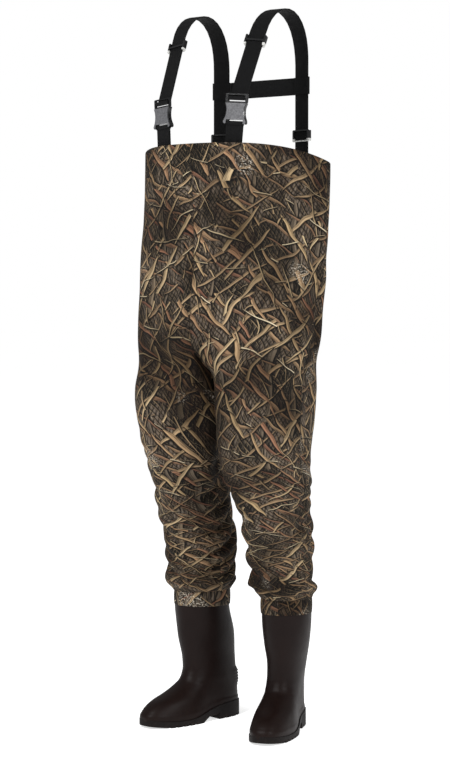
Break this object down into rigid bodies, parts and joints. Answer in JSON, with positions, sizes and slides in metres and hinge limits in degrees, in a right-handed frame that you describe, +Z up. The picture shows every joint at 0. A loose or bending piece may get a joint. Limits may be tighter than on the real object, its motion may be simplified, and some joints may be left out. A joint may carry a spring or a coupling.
{
  "type": "chest waders",
  "caption": "Bootfoot chest waders: fabric bib and legs bonded to rubber boots, with a webbing harness, side-release buckles and three-bar slides.",
  "frame": {"origin": "on the floor, at the middle of the whole object's outline seen from above", "axes": "+Z up; the wearer's front faces -Y; the wearer's left is +X"},
  "size_m": [0.4744, 0.3479, 1.6653],
  "materials": {
    "marsh_camo_fabric": "matt woven cloth printed with reeds and marsh grass",
    "black_webbing": "woven webbing, matt",
    "boot_rubber": "matt satin",
    "outsole_rubber": "matt, moulded",
    "insole_felt": "felt",
    "shank_steel": "plain",
    "buckle_plastic": "glossy moulded",
    "slide_plastic": "glossy moulded"
  },
  "bodies": {
    "waders": {"back_panel_left": "marsh_camo_fabric", "back_panel_right": "marsh_camo_fabric", "boot_upper_left": "boot_rubber", "boot_upper_right": "boot_rubber", "buckle_ladder_left": "buckle_plastic", "buckle_ladder_right": "buckle_plastic", "buckle_socket_left": "buckle_plastic", "buckle_socket_right": "buckle_plastic", "crotch_gusset": "marsh_camo_fabric", "cuff_band_left": "marsh_camo_fabric", "cuff_band_right": "marsh_camo_fabric", "front_panel_left": "marsh_camo_fabric", "front_panel_right": "marsh_camo_fabric", "insole_left": "insole_felt", "insole_right": "insole_felt", "outsole_left": "outsole_rubber", "outsole_right": "outsole_rubber", "shank_left": "shank_steel", "shank_right": "shank_steel", "shoulder_strap_left": "black_webbing", "shoulder_strap_right": "black_webbing", "strap_tab_left": "black_webbing", "strap_tab_right": "black_webbing", "top_hem": "marsh_camo_fabric"},
    "prong_outer_left": {"buckle_prong_outer_left": "buckle_plastic"},
    "prong_inner_left": {"buckle_prong_inner_left": "buckle_plastic"},
    "front_slide_left": {"front_slide_left": "slide_plastic"},
    "back_slide_left": {"back_slide_left": "slide_plastic"},
    "prong_outer_right": {"buckle_prong_outer_right": "buckle_plastic"},
    "prong_inner_right": {"buckle_prong_inner_right": "buckle_plastic"},
    "front_slide_right": {"front_slide_right": "slide_plastic"},
    "back_slide_right": {"back_slide_right": "slide_plastic"},
    "cross_band": {"cross_strap": "black_webbing", "cross_sleeve_left": "black_webbing", "cross_sleeve_right": "black_webbing"}
  },
  "joints": [
    {"name": "prong_outer_left_pinch", "type": "hinge", "parent": "waders", "child": "prong_outer_left", "pos_m": [0.11322, -0.10701, 1.43331], "axis": [-0.2078, 0.9778, -0.0267], "range_deg": [0, 11], "stiffness_Nm_per_rad": 1.1},
    {"name": "prong_inner_left_pinch", "type": "hinge", "parent": "waders", "child": "prong_inner_left", "pos_m": [0.08688, -0.11255, 1.4354], "axis": [0.2078, -0.9778, 0.0267], "range_deg": [0, 11], "stiffness_Nm_per_rad": 1.1},
    {"name": "front_slide_left_travel", "type": "slide", "parent": "waders", "child": "front_slide_left", "axis": [0.0462, 0.4217, 0.9055], "range_m": [-0.075, 0.006]},
    {"name": "back_slide_left_travel", "type": "slide", "parent": "waders", "child": "back_slide_left", "axis": [0, 0, 1], "range_m": [-0.045, 0.03]},
    {"name": "prong_outer_right_pinch", "type": "hinge", "parent": "waders", "child": "prong_outer_right", "pos_m": [-0.11322, -0.10701, 1.43331], "axis": [-0.2078, -0.9778, 0.0267], "range_deg": [0, 11], "stiffness_Nm_per_rad": 1.1},
    {"name": "prong_inner_right_pinch", "type": "hinge", "parent": "waders", "child": "prong_inner_right", "pos_m": [-0.08688, -0.11255, 1.4354], "axis": [0.2078, 0.9778, -0.0267], "range_deg": [0, 11], "stiffness_Nm_per_rad": 1.1},
    {"name": "front_slide_right_travel", "type": "slide", "parent": "waders", "child": "front_slide_right", "axis": [-0.0462, 0.4217, 0.9055], "range_m": [-0.075, 0.006]},
    {"name": "back_slide_right_travel", "type": "slide", "parent": "waders", "child": "back_slide_right", "axis": [0, 0, 1], "range_m": [-0.045, 0.03]},
    {"name": "cross_band_travel", "type": "slide", "parent": "waders", "child": "cross_band", "axis": [0, 0, 1], "range_m": [-0.04, 0.02]}
  ]
}
